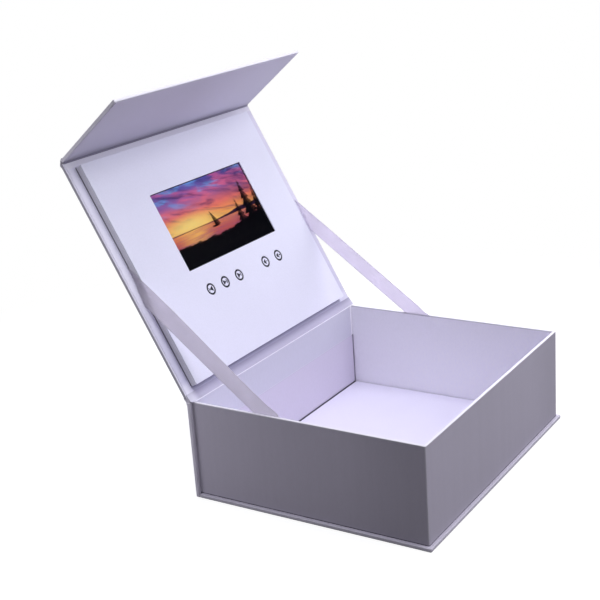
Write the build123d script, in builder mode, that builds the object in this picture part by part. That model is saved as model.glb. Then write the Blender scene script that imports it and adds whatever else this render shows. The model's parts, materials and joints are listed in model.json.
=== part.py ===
"""Rigid card gift box with a small video player in its hinged lid.

A wrapped case of four boards (base, spine, lid and flap) folds round a four-walled tray.
The lid stands open on two ribbons, and carries the player behind a printed face card.
Millimetres, +Z up. Origin: centre of the base board's underside. The hinge is at +Y.
"""

import os
from math import atan2, cos, pi, radians, sin, tan

from build123d import *

os.makedirs("parts", exist_ok=True)

# ---- Driving dimensions: tray and case ----
tray_w = 210.0          # outside width, along the hinge
tray_d = 170.0          # outside depth
tray_top = 68.5         # rim height above the table
board = 2.5             # wrapped case board
lip = 2.5               # how far the case stands out round the tray
wall = 1.9              # tray wall board
paper = 0.3             # lining paper
floor_board = 2.2       # loose-laid floor of the tray
floor_gap = 0.2         # round the floor board
floor_back_gap = 0.5    # along its back edge, where a dark line shows
corner_gap = 1.3        # back wall's right end stops short of the right wall
band_bottom = 44.5      # lower edge of the lining carried down the back wall
band_short = 2.8        # the band's right end stops short of the corner
crease_gap = 0.8        # between base board and spine
edge_r = 0.6            # wrapped board edges
corner_r = 1.0          # wrapped board corners, in plan
rim_r = 0.4             # tray rims

# ---- Lid and its paper hinge ----
lid_lean = 28.6         # back from upright, when the ribbons are tight
rest_gap = 0.4          # closed lid above the rims
hinge_rise = 1.5        # hinge line outside the lid's inner face
lid_start = 0.6         # lid board's back end, from the hinge line
strip = 0.4             # paper hinge strips
liner_inset = 1.2       # linings set in from the panels' side edges

# ---- Flap ----
front_gap = 1.0         # closed flap to front wall
flap_open = 100.3       # inner angle between lid and flap, as it stands
flap_len = 65.3
flap_board_t = 2.2
flap_inset = 0.2        # board ends stop short of the crease
flap_hinge_rise = 0.9   # hinge line outside both inner faces

# ---- Video module on the lid ----
module_left_gap = 8.5   # module in from the lid's side edges
module_right_gap = 13.0
module_v = 5.7          # lower edge, from the hinge line
module_top_gap = 5.3    # upper edge to the crease
frame_t = 4.7
face_t = 0.8
face_bevel = 0.2
window_w = 108.0
window_h = 58.5
window_x = 1.3
window_v = 74.6         # lower edge of the window, from the hinge line
fit_gap = 0.3           # round what sits in a pocket

# ---- Player parts ----
panel_side = 6.35       # screen's metal tray outside the window, left and right
panel_end = 8.65        # the same above and below
panel_t = 1.6
glass_border = 1.4      # metal tray outside the glass
glass_t = 1.4
film_t = 0.3
film_border = 4.0       # film outside the window
circuit_h = 28.0
circuit_t = 1.0
circuit_rise = 5.2      # its upper edge above the button centres
circuit_pad_t = 1.2
pad_inset = 4.0
flex_side = 4.1         # beside the switches
flex_t = 0.2
flex_rise = 0.4         # flex above the circuit board
flex_slot = 3           # the free place in the row of buttons
connector_h = 4.0
connector_inset = 1.0   # from the circuit board's upper edge
chip_t = 1.2
chip_rise = 9.5         # chip centres above the circuit board's lower edge
processor_side = 12.0
processor_shift = -15.3 # from the middle of the circuit board
memory_w = 13.0
memory_h = 8.0
memory_shift = 6.7
battery_w = 31.5
battery_t = 3.8
battery_side = 10.0     # from the module's left side
battery_end = 2.8       # from the module's lower edge
battery_gap = 3.8       # beside the circuit board
battery_top_gap = 3.5   # below the leads
battery_corner_r = 2.0
battery_lead_drop = 6.5 # lead below the battery's upper end
speaker_r = 14.0
speaker_t = 4.2
speaker_side = 4.5      # from the module's right side
speaker_gap = 5.7       # beside the circuit board
speaker_drop = 18.0     # its centre below the leads
speaker_rim = 1.5
cap_r = 5.0
cap_rise = 0.8
cone_depth = 2.2
lead_r = 0.6
lead_bend = 3.0
lead_land = 3.0         # how far a lead lies on its board
lead_clear = 4.35       # charging lead beside the screen and the circuit board
lead_drop = 2.5         # leads below the circuit board's upper edge
channel_w = 2.6
usb_w = 7.5
usb_t = 2.4
usb_len = 5.6
usb_wall = 0.3
usb_corner_r = 0.8
usb_tongue_t = 0.6
usb_v = 120.0
charge_w = 14.0
charge_h = 14.0
charge_edge = 3.0       # charging board to the module's side
reed_r = 1.0
reed_len = 14.0
reed_side = 5.0         # from the module's left side
reed_v = 40.0

# ---- Buttons ----
button_inset = 12.25    # end buttons in from the circuit board's ends
button_slots = {"previous": 0, "play": 1, "next": 2, "volume_down": 4, "volume_up": 5}
button_drop = 8.65      # button centres below the screen's metal tray
button_r = 4.2
button_gap = 0.2
button_bevel = 0.15
stem_r = 1.7
stem_gap = 0.1
switch_side = 6.0
switch_t = 1.8
switch_well = 0.8       # depth of the well that the stem works in
stem_in = 0.4           # how far the stem stands in the well, released

# ---- Magnets ----
magnet_r = 5.0
magnet_t = 1.5
magnet_x = 60.0
magnet_f = 52.0         # from the crease down the flap
magnet_gap = 0.1
trigger_w = 10.0
trigger_h = 5.0
trigger_t = 1.2
trigger_below_rim = 4.0

# ---- Ribbons ----
ribbon_w = 12.0
ribbon_t = 0.3
ribbon_slot_t = 0.5     # room for a ribbon under the lining
ribbon_tail = 18.0      # length glued inside the wall
ribbon_lid_v = 81.0     # where the middle of the ribbon leaves the lid
ribbon_wall_y = 27.3    # where it passes the rim
ribbon_tuck = 12.0      # how far it is glued in under the module
tuck_slot_t = 0.4

# ---- Places worked out from the above ----
half_w, half_d = tray_w / 2, tray_d / 2
case_half_w = half_w + lip
wall_h = tray_top - board
inner_half_w = half_w - wall - paper
inner_half_d = half_d - wall - paper
spine_back = half_d + board

lean = radians(lid_lean)
along_lid = Vector(0, sin(lean), cos(lean))
lid_in = Vector(0, -cos(lean), sin(lean))
hinge_line = Vector(0, spine_back, tray_top + rest_gap + hinge_rise)
# Lid plane: x across, y up the lid from the hinge line, z off the lid's inner face.
lid_plane = Plane(origin=hinge_line + lid_in * hinge_rise, x_dir=(1, 0, 0), z_dir=lid_in)

crease_v = spine_back + half_d + front_gap
flap_turn = radians(lid_lean + flap_open - 90)
along_flap = Vector(0, -cos(flap_turn), sin(flap_turn))
flap_in = Vector(0, -sin(flap_turn), -cos(flap_turn))
flap_line = lid_plane.from_local_coords(Vector(0, crease_v + flap_hinge_rise, -flap_hinge_rise))
# Flap plane: x across, y out along the flap from the crease, z off its inner face.
flap_origin = flap_line + (along_flap + flap_in) * flap_hinge_rise
flap_plane = Plane(origin=flap_origin, x_dir=(1, 0, 0), z_dir=flap_in)

lid_end_v = crease_v - flap_inset
strip_half_w = case_half_w - edge_r
lid_t = board + paper
flap_t = flap_board_t + paper
module_left = module_left_gap - case_half_w
module_right = case_half_w - module_right_gap
module_w = module_right - module_left
module_h = crease_v - module_top_gap - module_v
module_mid = ((module_left + module_right) / 2, module_v + module_h / 2)
window_mid = (window_x, window_v + window_h / 2)
panel_w = window_w + 2 * panel_side
panel_h = window_h + 2 * panel_end
panel_low_v = window_v - panel_end
button_v = panel_low_v - button_drop
circuit_top_v = button_v + circuit_rise
lead_v = circuit_top_v - lead_drop
battery_right = module_left + battery_side + battery_w
battery_top = lead_v - battery_top_gap
battery_h = battery_top - module_v - battery_end
battery_mid = (battery_right - battery_w / 2, battery_top - battery_h / 2)
battery_lead_v = battery_top - battery_lead_drop
speaker_mid = (module_right - speaker_side - speaker_r, lead_v - speaker_drop)
circuit_left = battery_right + battery_gap
circuit_right = speaker_mid[0] - speaker_r - speaker_gap
circuit_w = circuit_right - circuit_left
circuit_mid = ((circuit_left + circuit_right) / 2, circuit_top_v - circuit_h / 2)
chip_v = circuit_top_v - circuit_h + chip_rise
button_pitch = (circuit_w - 2 * button_inset) / max(button_slots.values())
button_first_x = circuit_left + button_inset
button_x = {name: button_first_x + button_pitch * slot for name, slot in button_slots.items()}
reed_x = module_left + reed_side
lead_turn_x = max(window_x + panel_w / 2, circuit_right) + lead_clear

ribbon_foot = Vector(0, ribbon_wall_y, tray_top)
ribbon_run = lid_plane.from_local_coords(Vector(0, ribbon_lid_v, 0)) - ribbon_foot
ribbon_dir = ribbon_run.normalized()
ribbon_rise = atan2(ribbon_run.Z, ribbon_run.Y)
ribbon_to_lid = pi / 2 - lean - ribbon_rise
rim_span = ribbon_w / sin(ribbon_rise)
lid_span = ribbon_w / sin(ribbon_to_lid)
magnet_z = tray_top + rest_gap - magnet_f
trigger_y = spine_back - reed_v
trigger_z = tray_top - trigger_below_rim

film_n = frame_t - film_t
glass_n = film_n - glass_t
panel_n = glass_n - panel_t
circuit_top_n = circuit_pad_t + circuit_t
switch_top_n = circuit_top_n + switch_t
magnet_pocket_t = magnet_t + magnet_gap
lead_n = circuit_top_n + lead_r
flex_n = circuit_top_n + flex_rise
glass_size = (panel_w - 2 * glass_border, panel_h - 2 * glass_border)
connector_v = circuit_top_v - connector_inset - connector_h / 2
flex_x = button_first_x + button_pitch * flex_slot
flex_w = 2 * (button_pitch - switch_side / 2 - flex_side)
flex_end_v = circuit_top_v - connector_inset
flex_mid = (flex_x, (flex_end_v + panel_low_v) / 2)
flex_size = (flex_w, panel_low_v - flex_end_v)
charge_mid = (module_right - charge_edge - charge_w / 2, usb_v)
charge_left = charge_mid[0] - charge_w / 2

# Pockets in the module's frame, as (middle, size), and the routes of its leads.
pockets = {
    "screen": (window_mid, (panel_w, panel_h)),
    "circuit": (circuit_mid, (circuit_w, circuit_h)),
    "battery": (battery_mid, (battery_w, battery_h)),
    "charge": (charge_mid, (charge_w, charge_h)),
    "reed": ((reed_x, reed_v), (2 * reed_r, reed_len)),
    "flex": (flex_mid, flex_size),
}
leads = {
    "battery_lead": [(battery_right, battery_lead_v), (circuit_left + lead_land, battery_lead_v)],
    "speaker_lead": [(speaker_mid[0] - speaker_r, speaker_mid[1]),
                     (circuit_right - lead_land, speaker_mid[1])],
    "charge_lead": [(charge_left + lead_land, usb_v), (lead_turn_x, usb_v),
                    (lead_turn_x, lead_v), (circuit_right - lead_land, lead_v)],
    "reed_lead": [(reed_x, reed_v + reed_len / 2), (reed_x, lead_v),
                  (circuit_left + lead_land, lead_v)],
}


def save(piece, name):
    """Label a finished piece and write it."""
    piece.part.label = name
    export_step(piece.part, f"parts/{name}.step")


def on_lid(v, n):
    """World point at height v up the lid and n off its inner face, on the middle plane."""
    return lid_plane.from_local_coords(Vector(0, v, n))


def on_flap(f, n):
    """World point f out along the flap and n off its inner face, on the middle plane."""
    return flap_plane.from_local_coords(Vector(0, f, n))


# ---- Case boards ----
with BuildPart() as base_board:
    with BuildSketch():
        with Locations((0, -half_d - lip)):
            base_depth = lip + tray_d - crease_gap
            Rectangle(2 * case_half_w, base_depth, align=(Align.CENTER, Align.MIN))
    extrude(amount=board)
    fillet(base_board.edges().filter_by(Axis.Z).group_by(Axis.Y)[0], corner_r)
    fillet(base_board.faces().sort_by(Axis.Z)[0].edges(), edge_r)
    fillet(base_board.faces().sort_by(Axis.Z)[-1].edges(), edge_r)
save(base_board, "base_board")

with BuildPart() as spine_board:
    with BuildSketch(Plane.XZ.offset(-spine_back)):
        Rectangle(2 * case_half_w, tray_top, align=(Align.CENTER, Align.MIN))
    extrude(amount=board)
    back_face = spine_board.faces().sort_by(Axis.Y)[-1]
    fillet(back_face.edges().sort_by(Axis.Z)[0], edge_r)
    fillet(spine_board.edges().filter_by(Axis.Z), edge_r)
save(spine_board, "spine_board")

# Wrap paper across the bend between base board and spine.
with BuildPart() as spine_crease:
    with BuildSketch(Plane.XY.offset(edge_r)):
        with Locations((0, half_d - crease_gap / 2)):
            Rectangle(2 * (case_half_w - edge_r), crease_gap)
    extrude(amount=strip)
save(spine_crease, "spine_crease")


# ---- Tray walls ----
def wall_blank(corners):
    """One upright tray wall: the part of the tray's rounded outline inside the corners given."""
    with BuildPart() as blank:
        with BuildSketch(Plane.XY.offset(board)) as outline:
            Rectangle(tray_w, tray_d)
            fillet(outline.vertices().group_by(Axis.Y)[0], corner_r)
            Polygon(*corners, align=None, mode=Mode.INTERSECT)
        extrude(amount=wall_h)
    return blank.part


def side_wall(side):
    """Left (-1) or right (+1) wall, with the slot that holds its ribbon under the lining."""
    outer, inner = side * half_w, side * (half_w - wall)
    corners = [(outer, -half_d), (outer, half_d), (inner, half_d), (inner, wall - half_d)]
    with BuildPart() as piece:
        add(wall_blank(corners))
        fillet(piece.edges().filter_by(Axis.Y).group_by(Axis.Z)[-1], rim_r)
        rim_point = ribbon_foot + Vector(inner, 0, 0)
        with BuildSketch(Plane(origin=rim_point, x_dir=ribbon_dir, z_dir=(side, 0, 0))):
            with Locations((-ribbon_tail - fit_gap, 0)):
                slot_len = ribbon_tail + fit_gap + rim_span
                Rectangle(slot_len, ribbon_w + 2 * fit_gap, align=(Align.MIN, Align.CENTER))
        extrude(amount=ribbon_slot_t, mode=Mode.SUBTRACT)
    return piece.part


with BuildPart() as left_wall:
    add(side_wall(-1))
    with BuildSketch(Plane.YZ.offset(wall - half_w)):
        with Locations((trigger_y, trigger_z)):
            Rectangle(trigger_w + 2 * magnet_gap, trigger_h + 2 * magnet_gap)
    extrude(amount=-trigger_t - magnet_gap, mode=Mode.SUBTRACT)
save(left_wall, "left_wall")

with BuildPart() as right_wall:
    add(side_wall(1))
save(right_wall, "right_wall")

with BuildPart() as front_wall:
    front_inner = wall - half_d
    add(wall_blank([(-half_w, -half_d), (half_w, -half_d),
                    (half_w - wall, front_inner), (wall - half_w, front_inner)]))
    fillet(front_wall.edges().filter_by(Axis.X).group_by(Axis.Z)[-1], rim_r)
    with BuildSketch(Plane.XZ.offset(-front_inner)):
        with Locations((-magnet_x, magnet_z), (magnet_x, magnet_z)):
            Circle(magnet_r + magnet_gap)
    extrude(amount=magnet_pocket_t, mode=Mode.SUBTRACT)
save(front_wall, "front_wall")

with BuildPart() as back_wall:
    with BuildSketch(Plane.XY.offset(board)):
        with Locations((wall - half_w, half_d)):
            back_w = tray_w - 2 * wall - corner_gap
            Rectangle(back_w, wall, align=(Align.MIN, Align.MAX))
    extrude(amount=wall_h)
save(back_wall, "back_wall")

# ---- Tray linings and floor ----
for name, side in (("left_lining", -1), ("right_lining", 1)):
    with BuildPart() as lining:
        with BuildSketch(Plane.XY.offset(board)):
            with Locations((side * (inner_half_w + paper / 2), 0)):
                Rectangle(paper, 2 * inner_half_d)
        extrude(amount=wall_h - rim_r)
    save(lining, name)

with BuildPart() as front_lining:
    with BuildSketch(Plane.XY.offset(board)):
        with Locations((0, -inner_half_d - paper / 2)):
            Rectangle(2 * inner_half_w, paper)
    extrude(amount=wall_h - rim_r)
save(front_lining, "front_lining")

# The lid's lining runs on over the back rim and down inside as a band.
with BuildPart() as back_lining:
    with BuildSketch(Plane.YZ.offset(-inner_half_w)):
        with BuildLine():
            Polyline((inner_half_d, band_bottom), (inner_half_d + paper, band_bottom),
                     (inner_half_d + paper, tray_top), (half_d, tray_top),
                     (half_d, tray_top + paper), (inner_half_d, tray_top + paper), close=True)
        make_face()
    extrude(amount=2 * inner_half_w - band_short)
    fillet(back_lining.edges().filter_by(Axis.X).group_by(Axis.Z)[-1].sort_by(Axis.Y)[0], paper / 2)
save(back_lining, "back_lining")

with BuildPart() as floor_panel:
    with BuildSketch(Plane.XY.offset(board)):
        with Locations((0, floor_gap - inner_half_d)):
            floor_depth = 2 * inner_half_d - floor_gap - floor_back_gap
            Rectangle(2 * (inner_half_w - floor_gap), floor_depth, align=(Align.CENTER, Align.MIN))
    extrude(amount=floor_board)
    fillet(floor_panel.faces().sort_by(Axis.Z)[-1].edges(), rim_r)
save(floor_panel, "floor_panel")

# ---- Magnets in the tray ----
for name, x in (("wall_magnet_left", -magnet_x), ("wall_magnet_right", magnet_x)):
    with BuildPart() as magnet:
        with BuildSketch(Plane.XZ.offset(half_d - wall + magnet_gap)):
            with Locations((x, magnet_z)):
                Circle(magnet_r)
        extrude(amount=magnet_t)
    save(magnet, name)

with BuildPart() as trigger_magnet:
    with BuildSketch(Plane.YZ.offset(wall - half_w - magnet_gap)):
        with Locations((trigger_y, trigger_z)):
            Rectangle(trigger_w, trigger_h)
    extrude(amount=-trigger_t)
save(trigger_magnet, "trigger_magnet")


# ---- Lid and flap boards ----
def case_panel(plane, start, end, thickness):
    """A wrapped panel on the back of a lining: width of the case, from start to end."""
    across = plane.y_dir
    with BuildPart() as piece:
        with BuildSketch(plane.offset(-paper)):
            with Locations((0, (start + end) / 2)):
                Rectangle(2 * case_half_w, end - start)
        extrude(amount=-thickness)
        fillet(piece.edges().filter_by(Axis((0, 0, 0), across)), edge_r)
    return piece.part


def panel_liner(plane, start, end):
    """The lining on a case panel, set in from the panel's side edges."""
    with BuildPart() as piece:
        with BuildSketch(plane.offset(-paper)):
            with Locations((0, (start + end) / 2)):
                Rectangle(2 * (case_half_w - liner_inset), end - start)
        extrude(amount=paper)
    return piece.part


with BuildPart() as lid_board:
    add(case_panel(lid_plane, lid_start, lid_end_v, board))
save(lid_board, "lid_board")

with BuildPart() as lid_liner:
    add(panel_liner(lid_plane, lid_start, lid_end_v))
save(lid_liner, "lid_liner")

with BuildPart() as flap_board:
    add(case_panel(flap_plane, flap_inset, flap_len, flap_board_t))
    free_end = flap_board.faces().sort_by(Axis(flap_plane.origin, along_flap))[-1]
    fillet(free_end.edges(), edge_r)
    with BuildSketch(flap_plane.offset(-paper)):
        with Locations((-magnet_x, magnet_f), (magnet_x, magnet_f)):
            Circle(magnet_r + magnet_gap)
    extrude(amount=-magnet_pocket_t, mode=Mode.SUBTRACT)
save(flap_board, "flap_board")

with BuildPart() as flap_liner:
    add(panel_liner(flap_plane, flap_inset, flap_len - liner_inset))
save(flap_liner, "flap_liner")

for name, x in (("flap_magnet_left", -magnet_x), ("flap_magnet_right", magnet_x)):
    with BuildPart() as magnet:
        with BuildSketch(flap_plane.offset(-paper - magnet_gap)):
            with Locations((x, magnet_f)):
                Circle(magnet_r)
        extrude(amount=-magnet_t)
    save(magnet, name)


# ---- Paper hinges ----
def hinge_strip(name, corners):
    """A paper strip that bridges two board ends, by the world points round its section."""
    with BuildPart() as piece:
        with BuildSketch(Plane.YZ.offset(-strip_half_w)):
            Polygon(*[(corner.Y, corner.Z) for corner in corners], align=None)
        extrude(amount=2 * strip_half_w)
    save(piece, name)


hinge_strip("lid_hinge_wrap", [
    Vector(0, spine_back - strip, tray_top), Vector(0, spine_back, tray_top),
    on_lid(lid_start, -lid_t), on_lid(lid_start, -lid_t + strip)])
hinge_strip("lid_hinge_lining", [
    Vector(0, half_d, tray_top), Vector(0, half_d + strip, tray_top),
    on_lid(lid_start, -paper - strip), on_lid(lid_start, -paper)])
hinge_strip("flap_hinge_wrap", [
    on_lid(lid_end_v, -lid_t), on_flap(flap_inset, -flap_t),
    on_flap(flap_inset, -flap_t + strip), on_lid(lid_end_v, -lid_t + strip)])
hinge_strip("flap_hinge_lining", [
    on_lid(lid_end_v, -paper - strip), on_flap(flap_inset, -paper - strip),
    on_flap(flap_inset, -paper), on_lid(lid_end_v, -paper)])


# ---- Stay ribbons ----
def ribbon(name, side, module_side):
    """A ribbon glued inside the wall, pulled tight to the lid and tucked in under the module."""
    ribbon_x = side * (half_w - wall + ribbon_slot_t / 2)
    reach = ribbon_run.length + ribbon_w / tan(ribbon_to_lid)
    tuck_start = ribbon_x + side * ribbon_t / 2
    tuck_end = module_side - side * ribbon_tuck
    with BuildPart() as piece:
        with BuildSketch(Plane(origin=ribbon_foot + Vector(ribbon_x, 0, 0), x_dir=ribbon_dir,
                               z_dir=(1, 0, 0))):
            with Locations((-ribbon_tail, 0)):
                Rectangle(ribbon_tail + reach, ribbon_w, align=(Align.MIN, Align.CENTER))
        extrude(amount=ribbon_t / 2, both=True)
        split(bisect_by=lid_plane, keep=Keep.TOP)
        with BuildSketch(lid_plane):
            with Locations(((tuck_start + tuck_end) / 2, ribbon_lid_v)):
                Rectangle(abs(tuck_start - tuck_end), lid_span)
        extrude(amount=ribbon_t)
    save(piece, name)


ribbon("left_ribbon", -1, module_left)
ribbon("right_ribbon", 1, module_right)


# ---- Module housing ----
def lead_line(points):
    """Centre line of a lead: straight runs joined by tangent arcs."""
    if len(points) == 2:
        Line(*points)
    else:
        FilletPolyline(*points, radius=lead_bend)


with BuildPart() as module_frame:
    with BuildSketch(lid_plane):
        with Locations(module_mid):
            RectangleRounded(module_w, module_h, corner_r)
    extrude(amount=frame_t)
    with BuildSketch(lid_plane):
        for middle, size in pockets.values():
            with Locations(middle):
                Rectangle(size[0] + 2 * fit_gap, size[1] + 2 * fit_gap)
        with Locations(speaker_mid):
            Circle(speaker_r + fit_gap)
        for points in leads.values():
            with BuildLine():
                lead_line(points)
            trace(line_width=channel_w)
    extrude(amount=frame_t, mode=Mode.SUBTRACT)
    # Notch for the charging socket, open towards the face card.
    with BuildSketch(lid_plane.offset(circuit_top_n - fit_gap)):
        with Locations((module_right, usb_v)):
            Rectangle(2 * charge_edge, usb_w + 2 * fit_gap)
    extrude(amount=frame_t, mode=Mode.SUBTRACT)
    # Recesses in the back for the tucked ribbons.
    with BuildSketch(lid_plane):
        with Locations((module_left, ribbon_lid_v), (module_right, ribbon_lid_v)):
            Rectangle(2 * (ribbon_tuck + fit_gap), lid_span + 2 * fit_gap)
    extrude(amount=tuck_slot_t, mode=Mode.SUBTRACT)
save(module_frame, "module_frame")

with BuildPart() as face_card:
    with BuildSketch(lid_plane.offset(frame_t)):
        with Locations(module_mid):
            RectangleRounded(module_w, module_h, corner_r)
    extrude(amount=face_t)
    chamfer(face_card.faces().sort_by(Axis(lid_plane.origin, lid_in))[-1].edges(), face_bevel)
    with BuildSketch(lid_plane.offset(frame_t)):
        with Locations(window_mid):
            Rectangle(window_w, window_h)
        with Locations(*[(x, button_v) for x in button_x.values()]):
            Circle(button_r + button_gap)
    extrude(amount=face_t, mode=Mode.SUBTRACT)
save(face_card, "face_card")


# ---- Screen, boards and other flat parts ----
def lid_block(name, middle, size, level, height, radius=0.0):
    """A flat rectangular part on the lid, from level up, with its corners rounded."""
    with BuildPart() as piece:
        with BuildSketch(lid_plane.offset(level)):
            with Locations(middle):
                if radius:
                    RectangleRounded(*size, radius)
                else:
                    Rectangle(*size)
        extrude(amount=height)
    save(piece, name)


lid_block("window_film", window_mid, (window_w + 2 * film_border, window_h + 2 * film_border),
          film_n, film_t)
lid_block("screen_glass", window_mid, glass_size, glass_n, glass_t)
lid_block("screen_pad", window_mid, (panel_w - 2 * pad_inset, panel_h - 2 * pad_inset), 0, panel_n)
lid_block("battery", battery_mid, (battery_w, battery_h), 0, battery_t, battery_corner_r)
lid_block("processor_chip", (circuit_mid[0] + processor_shift, chip_v),
          (processor_side, processor_side), circuit_top_n, chip_t)
lid_block("memory_chip", (circuit_mid[0] + memory_shift, chip_v), (memory_w, memory_h),
          circuit_top_n, chip_t)
lid_block("flex_connector", (flex_x, connector_v), (flex_w + 2 * corner_r, connector_h),
          circuit_top_n, chip_t)
lid_block("screen_flex", flex_mid, flex_size, flex_n, flex_t)
lid_block("circuit_board", circuit_mid, (circuit_w, circuit_h), circuit_pad_t, circuit_t, corner_r)
lid_block("charge_board", charge_mid, (charge_w, charge_h), circuit_pad_t, circuit_t)

# Metal tray of the screen, which holds the glass by its edges.
with BuildPart() as screen_panel:
    with BuildSketch(lid_plane.offset(panel_n)):
        with Locations(window_mid):
            Rectangle(panel_w, panel_h)
    extrude(amount=film_n - panel_n)
    with BuildSketch(lid_plane.offset(glass_n)):
        with Locations(window_mid):
            Rectangle(*glass_size)
    extrude(amount=glass_t, mode=Mode.SUBTRACT)
save(screen_panel, "screen_panel")

# Foam pads under both circuit boards.
with BuildPart() as board_pads:
    with BuildSketch(lid_plane):
        with Locations(circuit_mid):
            Rectangle(circuit_w - 2 * pad_inset, circuit_h - 2 * pad_inset)
        with Locations(charge_mid):
            Rectangle(charge_w - pad_inset, charge_h - pad_inset)
    extrude(amount=circuit_pad_t)
save(board_pads, "board_pads")

# ---- Speaker: a round basket with a sunk cone and a cap ----
speaker_plane = Plane(origin=lid_plane.from_local_coords(Vector(*speaker_mid, 0)),
                      x_dir=(1, 0, 0), z_dir=-along_lid)
with BuildPart() as speaker:
    with BuildSketch(speaker_plane):
        with BuildLine():
            cone_foot = speaker_t - cone_depth
            Polyline((0, 0), (speaker_r, 0), (speaker_r, speaker_t),
                     (speaker_r - speaker_rim, speaker_t), (cap_r, cone_foot),
                     (cap_r, cone_foot + cap_rise), (0, cone_foot + cap_rise), close=True)
        make_face()
    revolve(axis=Axis(speaker_plane.origin, lid_in))
save(speaker, "speaker")

# ---- Charging socket: a thin shell round a tongue ----
usb_back = module_right - usb_len
with BuildPart() as usb_socket:
    usb_plane = Plane(origin=lid_plane.from_local_coords(
        Vector(usb_back, usb_v, circuit_top_n + usb_t / 2)), x_dir=along_lid, z_dir=(1, 0, 0))
    with BuildSketch(usb_plane):
        RectangleRounded(usb_w, usb_t, usb_corner_r)
    extrude(amount=usb_len)
    with BuildSketch(usb_plane.offset(usb_wall)):
        RectangleRounded(usb_w - 2 * usb_wall, usb_t - 2 * usb_wall, usb_corner_r - usb_wall)
    extrude(amount=usb_len, mode=Mode.SUBTRACT)
    with BuildSketch(usb_plane):
        Rectangle(usb_w / 2, usb_tongue_t)
    extrude(amount=usb_len * 0.7)
save(usb_socket, "usb_socket")


# ---- Leads ----
def lead(name, points):
    """A flat two-core lead along its centre line."""
    with BuildPart() as piece:
        with BuildLine(lid_plane.offset(lead_n)) as path:
            lead_line(points)
        start = Plane(origin=path.line @ 0, x_dir=lid_in, z_dir=path.line % 0)
        with BuildSketch(start):
            Rectangle(2 * lead_r, 4 * lead_r)
        sweep()
    save(piece, name)


for name, points in leads.items():
    lead(name, points)

with BuildPart() as reed_switch:
    reed_foot = lid_plane.from_local_coords(Vector(reed_x, reed_v - reed_len / 2, lead_n))
    with BuildSketch(Plane(origin=reed_foot, x_dir=(1, 0, 0), z_dir=along_lid)):
        Circle(reed_r)
    extrude(amount=reed_len)
    chamfer(reed_switch.edges().filter_by(GeomType.CIRCLE), reed_r / 2)
save(reed_switch, "reed_switch")


# ---- Buttons and their switches ----
for name, x in button_x.items():
    with BuildPart() as switch:
        with BuildSketch(lid_plane.offset(circuit_top_n)):
            with Locations((x, button_v)):
                Rectangle(switch_side, switch_side)
        extrude(amount=switch_t)
        with BuildSketch(lid_plane.offset(switch_top_n)):
            with Locations((x, button_v)):
                Circle(stem_r + stem_gap)
        extrude(amount=-switch_well, mode=Mode.SUBTRACT)
    save(switch, f"{name}_switch")
    with BuildPart() as button:
        with BuildSketch(lid_plane.offset(frame_t)):
            with Locations((x, button_v)):
                Circle(button_r)
        extrude(amount=face_t)
        top_face = button.faces().sort_by(Axis(lid_plane.origin, lid_in))[-1]
        chamfer(top_face.edges(), button_bevel)
        with BuildSketch(lid_plane.offset(frame_t)):
            with Locations((x, button_v)):
                Circle(stem_r)
        extrude(amount=switch_top_n - stem_in - frame_t)
    save(button, f"{name}_button")
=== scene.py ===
"""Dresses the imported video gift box: papers, ribbons, prints and a lit screen, in a studio.

Lengths written in millimetres are multiplied by MM. The lid's own directions are up the lid
from its hinge and out of its inner face. The flap has its own pair, out from its crease.
"""

import json
import math

import bmesh
import bpy
from mathutils import Matrix, Vector


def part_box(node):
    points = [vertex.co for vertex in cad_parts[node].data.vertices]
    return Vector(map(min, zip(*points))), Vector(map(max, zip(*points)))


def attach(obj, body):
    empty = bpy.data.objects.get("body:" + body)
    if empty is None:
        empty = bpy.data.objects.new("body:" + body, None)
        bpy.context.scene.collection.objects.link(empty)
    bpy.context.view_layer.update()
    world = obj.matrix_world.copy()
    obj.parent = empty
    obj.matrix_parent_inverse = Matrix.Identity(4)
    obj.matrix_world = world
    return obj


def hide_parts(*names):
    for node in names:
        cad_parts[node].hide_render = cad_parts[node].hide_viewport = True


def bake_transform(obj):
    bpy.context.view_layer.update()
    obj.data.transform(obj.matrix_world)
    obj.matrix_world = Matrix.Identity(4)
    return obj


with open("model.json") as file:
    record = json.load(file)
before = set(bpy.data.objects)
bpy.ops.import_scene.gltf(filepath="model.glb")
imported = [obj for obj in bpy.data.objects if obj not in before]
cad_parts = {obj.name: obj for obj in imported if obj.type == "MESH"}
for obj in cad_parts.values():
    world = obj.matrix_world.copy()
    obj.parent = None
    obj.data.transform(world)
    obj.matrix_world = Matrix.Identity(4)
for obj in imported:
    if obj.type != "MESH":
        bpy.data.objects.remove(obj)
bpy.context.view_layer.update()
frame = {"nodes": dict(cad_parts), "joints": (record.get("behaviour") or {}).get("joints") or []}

MM = 0.001
nodes = frame["nodes"]
joints = {joint["name"]: joint for joint in frame["joints"]}

# ---- Driving dimensions, millimetres ----
BOARD_HALF_W = 107.5
LID_END, FLAP_END = 173.3, 65.3     # far edges of the lid board and the flap board
LID_LEAN = math.radians(28.6)
FLAP_OPEN = math.radians(100.3)     # inner angle between lid and flap
HINGE_RISE = 1.5                    # hinge line outside the lid's inner face
FLAP_RISE = 0.9                     # flap's hinge line outside both inner faces
BOARD_T = 2.8                       # lid board with its lining
FLAP_T = 2.5
WALL_INSIDE = 102.8                 # lined faces of the side walls
LINING_T = 0.3
RIM_Z = 68.5
BAND_BOTTOM = 44.5                  # lining paper turned down inside the back wall
BAND_FACE_Y = 83.05
CORNER_PAPER_Y = 82.98
FACE_N = 5.5                        # face card's front, off the lid
CARD_T = 0.8
GLASS_N = 4.4                       # screen glass, off the lid
WINDOW_MID = (1.3, 103.85)
WINDOW_SIZE = (108.0, 58.5)
MODULE_LEFT, MODULE_RIGHT = -99.0, 94.5
MODULE_BOTTOM, MODULE_TOP = 5.7, 168.2
RING_RADII = (3.0, 4.35)            # printed ring on each button
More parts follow.
